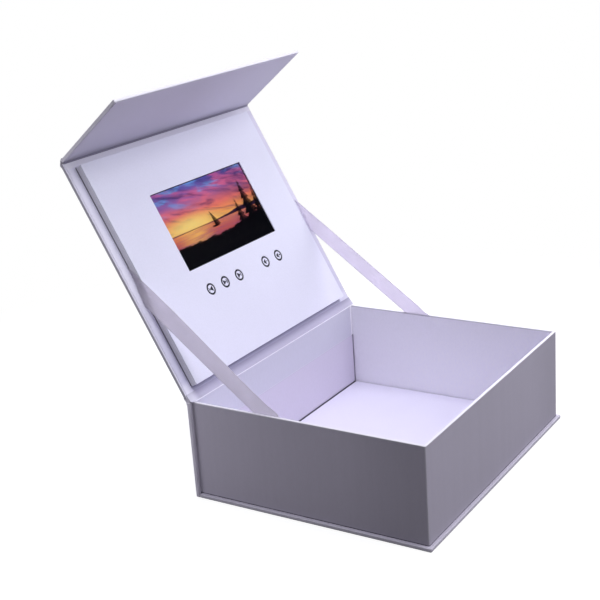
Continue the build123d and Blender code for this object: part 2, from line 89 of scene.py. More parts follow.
CASE_HALF_W, LID_HALF_W = 104.8, 107.3   # hinge papers on the tray and on the lid
HINGE_PAPER_T, CREASE_LINING_T, END_PAPER_T, LINING_SHEET_T = 0.25, 0.2, 0.12, 0.25
TURNED_PAPER_T = 0.1                # paper turned into a corner or over one

RIBBON_W = 12.0
RIBBON_T = 0.28
RIBBON_TAIL = 18.0
RIBBON_TUCK = 11.0
RIBBON_RIM_Y = 27.3                 # middle of the left ribbon at the rim
RIBBON_LID_V = 81.0                 # middle of the left ribbon at the lid
RIGHT_RIM_Y, RIGHT_LID_V = RIBBON_RIM_Y - 1.9, RIBBON_LID_V - 4.0
RIBBON_WALL_X = 103.35
RIBBON_BOW, RIBBON_CURL = 0.45, 0.9  # towards the middle of the box
RAISED_T = 0.38                     # how far a ribbon's glued end lifts the lining

# ---- Directions and places worked out from them ----
LID_UP = Vector((0, math.sin(LID_LEAN), math.cos(LID_LEAN)))
LID_IN = Vector((0, -math.cos(LID_LEAN), math.sin(LID_LEAN)))
LID_HINGE = Vector(joints["lid_hinge"]["pos_m"])
LID_ORIGIN = LID_HINGE + LID_IN * HINGE_RISE * MM
FLAP_TURN = LID_LEAN + FLAP_OPEN - math.pi / 2
FLAP_OUT = Vector((0, -math.cos(FLAP_TURN), math.sin(FLAP_TURN)))
FLAP_IN = Vector((0, -math.sin(FLAP_TURN), -math.cos(FLAP_TURN)))
FLAP_HINGE = Vector(joints["flap_hinge"]["pos_m"])
FLAP_ORIGIN = FLAP_HINGE + (FLAP_OUT + FLAP_IN) * FLAP_RISE * MM
ACROSS = Vector((1, 0, 0))


def on_lid(x, v, n):
    """Point x across, v up the lid and n off its inner face, from millimetres."""
    return LID_ORIGIN + (ACROSS * x + LID_UP * v + LID_IN * n) * MM


def on_flap(x, f, n):
    """Point x across, f out along the flap and n off its inner face, from millimetres."""
    return FLAP_ORIGIN + (ACROSS * x + FLAP_OUT * f + FLAP_IN * n) * MM


def smoothstep(value, low, high):
    """0 below low, 1 above high, smooth between."""
    share = min(max((value - low) / (high - low), 0.0), 1.0)
    return share * share * (3 - 2 * share)


# ---- Shader node helpers ----
class Shader:
    """The node tree of a new material or of a world, with short calls for its nodes."""

    def __init__(self, name, world=None):
        self.material = world or bpy.data.materials.new(name)
        self.material.use_nodes = True
        self.tree = self.material.node_tree
        self.tree.nodes.clear()
        self.output = self.node("OutputWorld" if world else "OutputMaterial")

    def node(self, kind, **settings):
        made = self.tree.nodes.new("ShaderNode" + kind)
        for key, value in settings.items():
            setattr(made, key, value)
        return made

    def put(self, socket, value):
        """Links a socket to another, or sets its value."""
        if isinstance(value, bpy.types.NodeSocket):
            self.tree.links.new(value, socket)
        else:
            socket.default_value = value

    def math(self, operation, *values, clamp=False):
        made = self.node("Math", operation=operation, use_clamp=clamp)
        for socket, value in zip(made.inputs, values):
            self.put(socket, value)
        return made.outputs[0]

    def times(self, *values):
        return self.math("MULTIPLY", *values)

    def plus(self, *values):
        return self.math("ADD", *values)

    def minus(self, *values):
        return self.math("SUBTRACT", *values)

    def vector(self, operation, *values):
        made = self.node("VectorMath", operation=operation)
        for socket, value in zip(made.inputs, values):
            self.put(socket, value)
        return made.outputs["Value" if operation in ("DOT_PRODUCT", "LENGTH") else "Vector"]

    def scaled(self, vector, scale):
        made = self.node("VectorMath", operation="SCALE")
        self.put(made.inputs["Vector"], vector)
        self.put(made.inputs["Scale"], scale)
        return made.outputs["Vector"]

    def split(self, vector):
        """The three parts of a vector."""
        made = self.node("SeparateXYZ")
        self.put(made.inputs[0], vector)
        return made.outputs

    def combine(self, x, y, z=0.0):
        made = self.node("CombineXYZ")
        for socket, value in zip(made.inputs, (x, y, z)):
            self.put(socket, value)
        return made.outputs[0]

    def place(self):
        """The point in the shared frame, in metres, at rest."""
        return self.node("TexCoord").outputs["Object"]

    def noise(self, vector, scale, detail=2.0, roughness=0.5, distortion=0.0):
        made = self.node("TexNoise")
        self.put(made.inputs["Vector"], vector)
        for name, value in (("Scale", scale), ("Detail", detail), ("Roughness", roughness),
                            ("Distortion", distortion)):
            self.put(made.inputs[name], value)
        return made.outputs["Fac"]

    def remap(self, value, low, high, to_low, to_high, kind="LINEAR"):
        made = self.node("MapRange", interpolation_type=kind)
        for socket, entry in zip(made.inputs, (value, low, high, to_low, to_high)):
            self.put(socket, entry)
        return made.outputs["Result"]

    def ease(self, *values):
        """A remap with a smooth start and end."""
        return self.remap(*values, kind="SMOOTHSTEP")

    def blend(self, fac, first, second, mode="MIX"):
        """Colour mix of first and second by fac."""
        made = self.node("Mix", data_type="RGBA", blend_type=mode)
        self.put(made.inputs["Factor"], fac)
        for socket, value in ((made.inputs["A"], first), (made.inputs["B"], second)):
            self.put(socket, value)
        return made.outputs["Result"]

    def ramp(self, fac, stops):
        """Colour ramp with (position, colour) stops."""
        made = self.node("ValToRGB")
        self.put(made.inputs["Fac"], fac)
        elements = made.color_ramp.elements
        while len(elements) < len(stops):
            elements.new(0.5)
        for element, (position, colour) in zip(elements, stops):
            element.position = position
            element.color = colour
        return made.outputs["Color"]

    def bump(self, height, distance, strength=1.0):
        made = self.node("Bump")
        self.put(made.inputs["Height"], height)
        self.put(made.inputs["Distance"], distance)
        self.put(made.inputs["Strength"], strength)
        return made.outputs["Normal"]

    def mix(self, fac, first, second):
        """Shader mix of first and second by fac."""
        made = self.node("MixShader")
        for socket, value in zip(made.inputs, (fac, first, second)):
            self.put(socket, value)
        return made.outputs[0]

    def camera_rays(self):
        """1 for rays from the camera, also through the clear film."""
        path = self.node("LightPath")
        return self.math("MAXIMUM", path.outputs["Is Camera Ray"],
                         path.outputs["Is Transmission Ray"])

    def surface(self, look):
        """Puts a shader on the output."""
        self.put(self.output.inputs["Surface"], look)

    def principled(self, **inputs):
        """A Principled shader on the output. Input names use _ for a space."""
        made = self.node("BsdfPrincipled")
        for name, value in inputs.items():
            self.put(made.inputs[name.replace("_", " ")], value)
        self.surface(made.outputs[0])
        return made.outputs[0]


def srgb(red, green, blue):
    """Linear colour from 0 to 255 screen values."""
    def linear(value):
        value /= 255
        return value / 12.92 if value <= 0.04045 else ((value + 0.055) / 1.055) ** 2.4
    return (linear(red), linear(green), linear(blue), 1.0)


def edge_distance(shader, point, low, high):
    """Distance in metres from point to the nearest edge of a box, for a point on its faces."""
    middle, half = (low + high) / 2, (high - low) / 2
    away = shader.vector("ABSOLUTE", shader.vector("SUBTRACT", point, middle))
    inside = shader.vector("SUBTRACT", half, away)
    a, b, c = shader.split(inside)
    lowest = shader.math("MINIMUM", a, b)
    highest = shader.math("MAXIMUM", a, b)
    return shader.math("MAXIMUM", lowest, shader.math("MINIMUM", highest, c))


def turned(shader, point, forward, upward, origin):
    """The point in a panel's own directions: across, along forward and along upward."""
    offset = shader.vector("SUBTRACT", point, origin)
    return shader.combine(shader.split(offset)[0], shader.vector("DOT_PRODUCT", offset, forward),
                          shader.vector("DOT_PRODUCT", offset, upward))


# ---- Paper ----
FIBRE_GRAIN = (900.0, 900.0, 420.0)
ROLLED_GRAIN = (230.0, 230.0, 9.0)
RING_SOFTNESS = 0.05 * MM


def paper(name, colour, roughness, streak=0.0, edges=None, panel=None, bands=(), ring=None,
          hollow=None):
    """Matt laminated paper: cloudy tone, fine fibres, faint rolling streaks, and edges made
    lighter, partly as rubbed wear and partly as painted highlight.

    Each band is a direction from 0 to 2, the level in millimetres where it is full, the level
    where it is gone, its strength and its colour; most bands are painted shade and painted light.
    The ring is a printed circle's centre and radii, in millimetres. The hollow is a painted soft
    shade below a raised edge: its two ends across, the edge's height, the height where the shade
    is gone, and its strength.
    """
    shader = Shader(name)
    point = shader.place()
    if panel:
        point = turned(shader, point, *panel)
    parts = shader.split(point)
    clouds = shader.noise(point, 14.0, 3.0, 0.55)
    fibres = shader.noise(shader.vector("MULTIPLY", point, FIBRE_GRAIN), 1.0, 3.0, 0.6)
    rolled = shader.noise(shader.vector("MULTIPLY", point, ROLLED_GRAIN), 1.0, 2.0, 0.5)
    tone = shader.remap(clouds, 0.3, 0.7, 0.985, 1.015)
    tone = shader.times(tone, shader.remap(fibres, 0.3, 0.7, 0.98, 1.02))
    tone = shader.times(tone, shader.remap(rolled, 0.3, 0.7, 1.0 - streak, 1.0 + streak))
    shade = shader.scaled(colour[:3], tone)
    # Edges lighter: partly rubbed wear, partly painted highlight.
    if edges:
        near = edge_distance(shader, point, *edges)
        uneven = shader.remap(fibres, 0.25, 0.75, -0.3 * MM, 0.3 * MM)
        wear_and_highlight = shader.ease(shader.plus(near, uneven), 0.1 * MM, 1.0 * MM, 0.16, 0.0)
        shade = shader.blend(wear_and_highlight, shade, WEAR_AND_HIGHLIGHT)
    for direction, full, gone, strength, tint in bands:
        share = shader.ease(parts[direction], full * MM, gone * MM, strength, 0.0)
        shade = shader.blend(share, shade, tint)
    if ring:
        centre = Vector((ring[0], ring[1], 0)) * MM
        inner, outer = ring[2] * MM, ring[3] * MM
        flat = shader.combine(parts[0], parts[1])
        radius = shader.vector("LENGTH", shader.vector("SUBTRACT", flat, centre))
        inked = shader.times(
            shader.remap(radius, inner - RING_SOFTNESS, inner + RING_SOFTNESS, 0, 1),
            shader.remap(radius, outer - RING_SOFTNESS, outer + RING_SOFTNESS, 1, 0))
        shade = shader.blend(inked, shade, RING_INK)
    if hollow:
        x_low, x_high, edge, gone, strength = hollow
        across, forward, _ = parts
        beside = shader.math("MINIMUM", shader.minus(across, x_low * MM),
                             shader.minus(x_high * MM, across))
        share = shader.times(shader.ease(beside, -1.5 * MM, 1.5 * MM, 0.0, 1.0),
                             shader.remap(forward, edge * MM, gone * MM, strength, 0.0))
        share = shader.times(share, shader.math("LESS_THAN", forward, (edge + 0.1) * MM))
        shade = shader.blend(share, shade, HOLLOW_SHADE)
    gloss = shader.remap(fibres, 0.2, 0.8, roughness - 0.05, roughness + 0.05)
    height = shader.plus(shader.times(fibres, 0.6), shader.times(rolled, 0.8 if streak else 0.2))
    shader.principled(Base_Color=shade, Roughness=gloss, Specular_IOR_Level=0.32,
                      Sheen_Weight=0.06, Sheen_Roughness=0.4,
                      Normal=shader.bump(height, 0.02 * MM, 0.5))
    return shader.material


# The wrap paper of LID_WRAP made darker as painted shade, for the outer walls, the crease and the
# boards' right ends.
SHADED_WRAP = srgb(180, 174, 190)
LID_WRAP = srgb(204, 198, 214)
LINING = srgb(250, 248, 255)
# The flap's lining is drawn darker than the lid's: painted shade.
SHADED_FLAP_LINING = srgb(212, 207, 228)
# The lid hinge's lining is darker: painted shade in the gutter below the module.
SHADED_HINGE_LINING = srgb(190, 185, 208)
BAND = srgb(214, 210, 232)
FACE = srgb(231, 230, 248)
LID_LINING = srgb(242, 239, 255)
MODULE_SIDE = srgb(247, 245, 255)
# PAINTED_LIGHT paints light: a paler tone laid on rims, edges and strips as painted highlight
PAINTED_LIGHT = srgb(249, 246, 255)
PAINTED_SHADE = srgb(40, 34, 54)             # painted shade for seams, creases, edges and darker sides
# Colours of painted shade.
MARGIN_SHADE, MARGIN_HALF_SHADE = srgb(140, 136, 182), srgb(206, 200, 220)
HOLLOW_SHADE, HINGE_SHADE = srgb(92, 88, 124), srgb(104, 100, 134)
TURNED_BAND, BACK_LINING = srgb(207, 205, 221), srgb(211, 204, 223)
# The crease lining and the flap hinge's end caps are darkened as painted shade in the crease.
SHADED_CREASE_LINING, SHADED_CREASE_END = srgb(150, 145, 168), srgb(158, 153, 168)
# lighter edge colour: partly rubbed wear, partly painted highlight
WEAR_AND_HIGHLIGHT = (0.93, 0.92, 0.96, 1.0)
RING_INK = srgb(30, 28, 46)
FLOOR_CARD = srgb(239, 235, 254)
LID_PANEL = (LID_UP, LID_IN, LID_ORIGIN)
FLAP_PANEL = (FLAP_OUT, FLAP_IN, FLAP_ORIGIN)


def panel_box(x_low, x_high, up_low, up_high, in_low, in_high):
    """Corners of a box in a panel's own directions, from millimetres."""
    return Vector((x_low, up_low, in_low)) * MM, Vector((x_high, up_high, in_high)) * MM


def dress(names, material):
    """Gives CAD nodes a material in every slot."""
    for name in names:
        mesh = nodes[name].data
        for index in range(max(1, len(mesh.materials))):
            if index < len(mesh.materials):
                mesh.materials[index] = material
            else:
                mesh.materials.append(material)


# Painted shade on the outer paper: dark lines at the walls' feet and back edges, the base board
# darker at its bottom edge and towards the back, the left wall darker towards the front, the
# front wall darker towards the right.
foot_seam_shade, back_seam_shade = (2, 2.6, 3.5, 0.95, PAINTED_SHADE), (1, 85.0, 84.8, 0.3, PAINTED_SHADE)
wall_shade_bands = {"base_board": [(2, 0.1, 0.9, 0.85, PAINTED_SHADE), (1, 85.0, 0.0, 0.14, PAINTED_SHADE)],
              "spine_board": [],
              "left_wall": [foot_seam_shade, back_seam_shade, (1, -84.0, -20.0, 0.16, PAINTED_SHADE)],
              "right_wall": [foot_seam_shade, back_seam_shade],
              "front_wall": [foot_seam_shade, (0, 106.0, 50.0, 0.15, PAINTED_SHADE)]}
for name, bands in wall_shade_bands.items():
    low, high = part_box(name)
    top = high.z / MM
    # Painted highlight: a pale line along each wall's rim.
    rim = [] if name == "base_board" else [(2, top - 0.1, top - 0.7, 0.9, PAINTED_LIGHT)]
    colour = LID_WRAP if name in ("base_board", "spine_board") else SHADED_WRAP
    dress([name], paper(f"wrap_{name}", colour, 0.55, streak=0.012, edges=(low, high),
                        bands=bands + rim))
dress(["spine_crease"], paper("wrap_crease", SHADED_WRAP, 0.55))
# Painted shade: a dark line at the lid's left end and the darker wrap at its right end.
dress(["lid_board"], paper("wrap_lid", LID_WRAP, 0.55, streak=0.012, panel=LID_PANEL,
                           edges=panel_box(-BOARD_HALF_W, BOARD_HALF_W, 0.6, LID_END,
                                           -BOARD_T, -LINING_T),
                           bands=[(0, -107.4, -107.2, 0.4, PAINTED_SHADE),
                                  (2, -0.35, -0.9, 0.9, LID_LINING),
                                  (0, 106.4, 106.0, 0.9, LID_WRAP),
                                  (0, 107.2, 106.8, 0.7, SHADED_WRAP)]))
# Painted light at the flap's far edge and left end, painted shade on its right end.
dress(["flap_board"], paper("wrap_flap", LID_WRAP, 0.55, streak=0.012, panel=FLAP_PANEL,
                            edges=panel_box(-BOARD_HALF_W, BOARD_HALF_W, 0.2, FLAP_END,
                                            -FLAP_T, -LINING_T),
                            bands=[(1, 65.2, 64.6, 0.9, PAINTED_LIGHT), (0, 107.2, 106.8, 0.7, SHADED_WRAP),
                                   (0, -107.4, -107.2, 0.35, PAINTED_LIGHT)]))
dress(["front_lining"], paper("lining_front", BAND, 0.6))
# Painted highlight on the band's lower edge; painted shade at the back wall's foot and in a faint
# line below the band.
dress(["back_lining"], paper("lining_band", TURNED_BAND, 0.6,
                             bands=[(2, 44.7, 45.3, 0.2, PAINTED_LIGHT)]))
dress(["back_wall"], paper("lining_back", BACK_LINING, 0.6,
                           bands=[(2, 4.8, 5.6, 0.85, PAINTED_SHADE), (2, 44.5, 43.6, 0.16, PAINTED_SHADE)]))
# Painted shade on the lid's lining: darker low down and beside the module's left side, the strip
# under the module kept at the lining's tone, a paler top strip as painted light, a darker right
# margin, and the hollow's shade below the module.
dress(["lid_liner"], paper("lining_lid", LID_LINING, 0.6, panel=LID_PANEL,
                           bands=[(1, 15.0, 90.0, 0.33, MARGIN_SHADE),
                                  (1, 6.5, 12.0, 0.9, LID_LINING),
                                  (0, -99.0, -104.0, 0.24, MARGIN_SHADE),
                                  (1, 169.0, 168.3, 0.6, PAINTED_LIGHT),
                                  (0, 100.0, 90.0, 0.35, MARGIN_HALF_SHADE)],
                           hollow=(MODULE_LEFT, MODULE_RIGHT, MODULE_BOTTOM, -0.5, 0.72)))
# Painted shade: the flap's lining darker towards the left and along its crease.
dress(["flap_liner"], paper("lining_flap", SHADED_FLAP_LINING, 0.6, panel=FLAP_PANEL,
                            bands=[(0, -20.0, 70.0, 0.13, PAINTED_SHADE), (1, 0.3, 1.6, 0.5, PAINTED_SHADE),
                                   (1, 0.3, 8.0, 0.2, PAINTED_SHADE)]))
low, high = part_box("floor_panel")
floor_back, floor_right = high.y / MM, high.x / MM
# Painted shade: dark lines along the floor's back and right edges.
dress(["floor_panel"], paper("floor_card", FLOOR_CARD, 0.6, edges=(low, high),
                             bands=[(1, floor_back, floor_back - 0.7, 0.85, PAINTED_SHADE),
                                    (0, floor_right, floor_right - 0.7, 0.6, PAINTED_SHADE)]))
# Painted shade: a dark band at the foot of the module's sides.
dress(["module_frame"], paper("module_side", MODULE_SIDE, 0.62, panel=LID_PANEL,
                              bands=[(0, 94.45, 94.2, 0.9, LID_WRAP),
                                     (2, 0.35, 1.1, 0.85, PAINTED_SHADE)]))
module_edges = panel_box(MODULE_LEFT, MODULE_RIGHT, MODULE_BOTTOM, MODULE_TOP,
                         FACE_N - CARD_T, FACE_N)
# Painted shade: the face card slightly darker towards the bottom.
dress(["face_card"], paper("face_card", FACE, 0.5, panel=LID_PANEL, edges=module_edges,
                           bands=[(1, 15.0, 70.0, 0.08, LID_WRAP)]))


# ---- Small technical materials ----
def plain(name, colour, roughness, metallic=0.0, speckle=0.06, grain=2500.0, bump=0.004,
          stretch=(1, 1, 1)):
    """Moulded, stamped or coated material with a fine grain in tone, gloss and relief."""
    shader = Shader(name)
    point = shader.vector("MULTIPLY", shader.place(), stretch)
    fine = shader.noise(point, grain, 3.0, 0.6)
    tone = shader.remap(fine, 0.3, 0.7, 1.0 - speckle, 1.0 + speckle)
    shade = shader.scaled(colour[:3], tone)
    gloss = shader.remap(fine, 0.2, 0.8, max(roughness - 0.07, 0.02), roughness + 0.07)
    shader.principled(Base_Color=shade, Metallic=metallic, Roughness=gloss,
                      Normal=shader.bump(fine, bump * MM, 0.6))
    return shader.material


BRUSHED = (0.05, 1, 1)
dress(["wall_magnet_left", "wall_magnet_right", "trigger_magnet", "flap_magnet_left",
       "flap_magnet_right"], plain("nickel", (0.62, 0.62, 0.65, 1), 0.25, 1.0, 0.03, 1800))
dress(["screen_panel"], plain("stamped_tray", (0.6, 0.6, 0.62, 1), 0.38, 1.0, 0.05, 1500,
                              stretch=BRUSHED))
dress(["screen_pad", "board_pads"], plain("foam", (0.03, 0.03, 0.033, 1), 0.9, 0, 0.35, 1600,
                                          0.06))
dress(["screen_flex"], plain("flex_film", (0.55, 0.24, 0.05, 1), 0.35, 0, 0.12, 700,
                             stretch=(1, 0.1, 0.1)))
dress(["flex_connector"], plain("connector", (0.02, 0.02, 0.022, 1), 0.5))
dress(["circuit_board", "charge_board"], plain("solder_mask", (0.01, 0.09, 0.04, 1), 0.32, 0,
                                               0.25, 420, 0.02))
dress(["processor_chip", "memory_chip"], plain("chip_package", (0.016, 0.016, 0.018, 1), 0.55))
dress(["usb_socket"], plain("usb_shell", (0.66, 0.66, 0.68, 1), 0.27, 1.0, 0.04, 1500))
dress(["battery"], plain("pouch_foil", (0.62, 0.63, 0.66, 1), 0.33, 0.9, 0.06, 260, 0.05))
dress(["speaker"], plain("speaker_black", (0.02, 0.02, 0.021, 1), 0.6, 0, 0.2, 900, 0.02))
dress(["reed_switch"], plain("reed_glass", (0.35, 0.55, 0.42, 1), 0.12, 0, 0.05, 600))
dress(["battery_lead", "speaker_lead", "charge_lead", "reed_lead"],
      plain("lead_sleeve", (0.28, 0.012, 0.01, 1), 0.42))
dress([f"{name}_switch" for name in ("previous", "play", "next", "volume_down", "volume_up")],
      plain("switch_body", (0.03, 0.03, 0.032, 1), 0.45))


# ---- The lit picture: evening sky over water, behind dark land ----
def picture_material():
    """Sunset picture in the screen's own coordinates: across from 0 to 1, and up from 0 to 1."""
    shader = Shader("lit_picture")
    offset = shader.vector("SUBTRACT", shader.place(), LID_ORIGIN)
    left = (WINDOW_MID[0] - WINDOW_SIZE[0] / 2) * MM
    bottom = (WINDOW_MID[1] - WINDOW_SIZE[1] / 2) * MM
    across = shader.math("DIVIDE", shader.minus(shader.split(offset)[0], left),
                         WINDOW_SIZE[0] * MM)
    height = shader.vector("DOT_PRODUCT", offset, LID_UP)
    upward = shader.math("DIVIDE", shader.minus(height, bottom), WINDOW_SIZE[1] * MM)
    horizon, sun_across = 0.44, 0.24

    # Sky: glow at the horizon, violet towards the right, with long pink, blue and dark clouds.
    lift = shader.remap(upward, horizon, 1.0, 0.0, 1.0)
    sky = shader.ramp(lift, [(0.0, srgb(255, 190, 96)), (0.18, srgb(250, 152, 92)),
                             (0.4, srgb(224, 112, 118)), (0.65, srgb(148, 98, 166)),
                             (1.0, srgb(74, 84, 172))])
    dusk = shader.times(shader.ease(across, 0.4, 1.15, 0.0, 0.9),
                        shader.remap(lift, 0.1, 0.8, 0.2, 1.0))
    sky = shader.blend(dusk, sky, srgb(62, 38, 92))

    def streaks(slant, stretch, seed, low, high, strength):
        sloped = shader.plus(upward, shader.times(across, slant))
        at = shader.combine(shader.times(across, 3.1), shader.times(sloped, stretch), seed)
        return shader.ease(shader.noise(at, 1.0, 6.0, 0.66, 0.7), low, high, 0.0, strength)

    pink = shader.ramp(lift, [(0.0, srgb(255, 178, 96)), (0.3, srgb(246, 122, 106)),
                              (0.65, srgb(228, 108, 148)), (1.0, srgb(186, 92, 156))])
    sky = shader.blend(streaks(0.3, 9.0, 3.7, 0.44, 0.6, 0.85), sky, pink)
    blue = shader.times(streaks(0.3, 7.0, 11.2, 0.5, 0.64, 0.9),
                        shader.ease(lift, 0.3, 0.75, 0.0, 1.0))
    sky = shader.blend(blue, sky, srgb(112, 160, 232))
    sky = shader.blend(streaks(0.36, 10.0, 7.9, 0.5, 0.64, 0.7), sky, srgb(62, 44, 96))
    aside = shader.times(shader.minus(across, sun_across), 1.4)
    above = shader.times(shader.minus(upward, horizon + 0.05), 3.4)
    far = shader.vector("LENGTH", shader.combine(aside, above))
    sky = shader.blend(shader.ease(far, 0.0, 0.62, 0.95, 0.0), sky, srgb(255, 222, 132))

    # Water: the same colours, deeper, broken by level ripples.
    depth = shader.remap(upward, 0.0, horizon, 1.0, 0.0)
    water = shader.ramp(depth, [(0.0, srgb(240, 142, 84)), (0.25, srgb(206, 96, 82)),
                                (0.6, srgb(134, 66, 98)), (1.0, srgb(64, 38, 74))])
    water = shader.blend(shader.times(dusk, 0.8), water, srgb(84, 44, 88))
    ripple_at = shader.combine(shader.times(across, 6.0), shader.times(upward, 110.0), 1.3)
    ripples = shader.ease(shader.noise(ripple_at, 1.0, 3.0, 0.6), 0.42, 0.6, 0.0, 1.0)
    water = shader.blend(shader.times(ripples, 0.45), water, srgb(112, 76, 136))
    track = shader.ease(shader.math("ABSOLUTE", aside), 0.0, 0.34, 0.95, 0.0)
    track = shader.times(track, shader.remap(ripples, 0.0, 1.0, 1.0, 0.3))
    track = shader.times(track, shader.remap(depth, 0.0, 1.0, 1.0, 0.3))
    water = shader.blend(track, water, srgb(255, 196, 106))
    surface = shader.blend(shader.remap(upward, horizon - 0.004, horizon + 0.004, 0.0, 1.0),
                           water, sky)

    # Land: a far low shore, then a near black bank with pines.
    shore_noise = shader.noise(shader.combine(shader.times(across, 7.0), 0.4), 1.0, 4.0)
    shore = shader.times(shader.remap(shore_noise, 0.3, 0.7, 0.4, 1.0),
                         shader.ease(across, 0.4, 0.95, 0.0, 0.075))
    shore_top = shader.plus(shore, horizon - 0.004)
    on_shore = shader.times(shader.math("LESS_THAN", upward, shore_top),
                            shader.math("GREATER_THAN", upward, horizon - 0.012))
    surface = shader.blend(on_shore, surface, srgb(46, 26, 52))
    rough_edge = shader.noise(shader.combine(shader.times(across, 9.0), 8.2), 1.0, 8.0,
                              0.72)
    bank_top = shader.plus(shader.remap(rough_edge, 0.25, 0.75, 0.235, 0.305),
                           shader.ease(across, 0.55, 1.0, 0.0, 0.08))
    dark = shader.remap(shader.minus(bank_top, upward), -0.004, 0.006, 0.0, 1.0)
    needles = shader.noise(shader.combine(shader.times(across, 60.0),
                                          shader.times(upward, 60.0)), 1.0, 2.0)
    needles = shader.remap(needles, 0.3, 0.7, -0.004, 0.004)
    for middle, foot, tall, wide in ((0.88, 0.26, 0.58, 0.1), (0.76, 0.25, 0.36, 0.066),
                                     (0.985, 0.26, 0.42, 0.08)):
        rise = shader.remap(upward, foot, foot + tall, 0.0, 1.0)
        tier = shader.math("FRACT", shader.times(rise, 6.0))
        spread = shader.times(shader.minus(1.0, rise),
                              shader.remap(tier, 0.0, 1.0, wide, wide * 0.5))
        beside = shader.math("ABSOLUTE", shader.minus(across, middle))
        inside = shader.minus(shader.plus(spread, needles), beside)
        tree = shader.times(shader.remap(inside, 0.0, 0.004, 0.0, 1.0),
                            shader.times(shader.math("LESS_THAN", rise, 0.999),
                                         shader.math("GREATER_THAN", upward, foot - 0.02)))
        dark = shader.math("MAXIMUM", dark, tree)

    # A small sailing boat on the water.
    boat_x, boat_y = 0.46, 0.375
    sail_rise = shader.remap(upward, boat_y + 0.004, boat_y + 0.2, 0.0, 1.0)
    lee = shader.minus(across, boat_x)
    sail_edge = shader.times(shader.minus(1.0, sail_rise), 0.06)
    sail = shader.times(shader.math("GREATER_THAN", lee, 0.0),
                        shader.math("LESS_THAN", lee, sail_edge))
    sail = shader.times(sail, shader.math("GREATER_THAN", upward, boat_y))
    hull_half = shader.remap(upward, boat_y - 0.016, boat_y + 0.006, 0.028, 0.046)
    hull = shader.math("LESS_THAN", shader.math("ABSOLUTE", shader.minus(lee, 0.01)), hull_half)
    level = shader.math("ABSOLUTE", shader.minus(upward, boat_y - 0.005))
    hull = shader.times(hull, shader.math("LESS_THAN", level, 0.011))
    dark = shader.math("MAXIMUM", dark, shader.math("MAXIMUM", sail, hull))
    surface = shader.blend(dark, surface, srgb(4, 4, 7))
    shader.principled(Base_Color=(0.002, 0.002, 0.003, 1), Roughness=0.22, Specular_IOR_Level=0.0,
                      Emission_Color=surface, Emission_Strength=1.0)
    return shader.material


dress(["screen_glass"], picture_material())


def film_material():
    """Clear cover film over the screen."""
    shader = Shader("clear_film")
    scuff = shader.noise(shader.place(), 260.0, 4.0, 0.6)
    shader.principled(Base_Color=(0.012, 0.012, 0.016, 1), Alpha=0.02, Specular_IOR_Level=0.2,
                      Roughness=shader.remap(scuff, 0.3, 0.7, 0.1, 0.2))
    return shader.material


dress(["window_film"], film_material())


# ---- Meshes ----
def add_object(name, data):
    """A new object in the scene."""
    made = bpy.data.objects.new(name, data)
    bpy.context.scene.collection.objects.link(made)
    return made


def mesh_object(name, verts, faces, material, uvs):
    """A smooth shaded mesh object from points in metres, with a texture place for each point."""
    mesh = bpy.data.meshes.new(name)
    mesh.from_pydata(verts, [], faces)
    layer = mesh.uv_layers.new(name="UVMap")
    for loop in mesh.loops:
        layer.data[loop.index].uv = uvs[loop.vertex_index]
    mesh.materials.append(material)
    made = add_object(name, mesh)
    for polygon in mesh.polygons:
        polygon.use_smooth = True
    mesh.validate()
    return made


def apply_modifiers(made):
    """Replaces an object's mesh by its evaluated one."""
    graph = bpy.context.evaluated_depsgraph_get()
    evaluated = made.evaluated_get(graph)
    mesh = bpy.data.meshes.new_from_object(evaluated, depsgraph=graph)
    made.modifiers.clear()
    old = made.data
    made.data = mesh
    bpy.data.meshes.remove(old)


def sheet_from_rows(name, rows, thickness, material, uvs=None, creased=False):
    """A closed thin sheet from rows of points. Its thickness goes to the grid's own back side."""
    count = len(rows[0])
    uvs = uvs or [[(c / count, r / len(rows)) for c in range(count)] for r in range(len(rows))]
    verts = [point for row in rows for point in row]
    faces = [(r * count + c, r * count + c + 1, (r + 1) * count + c + 1, (r + 1) * count + c)
             for r in range(len(rows) - 1) for c in range(count - 1)]
    made = mesh_object(name, verts, faces, material, [uv for row in uvs for uv in row])
    solid = made.modifiers.new("thickness", "SOLIDIFY")
    solid.thickness = thickness
    solid.offset = 0.0 if creased else -1.0
    solid.use_even_offset = False
    apply_modifiers(made)
    edges = made.modifiers.new("edges", "BEVEL")
    edges.width = thickness * 0.3
    edges.segments = 2
    edges.limit_method = "ANGLE"
    edges.angle_limit = math.radians(60)
    apply_modifiers(made)
    return made


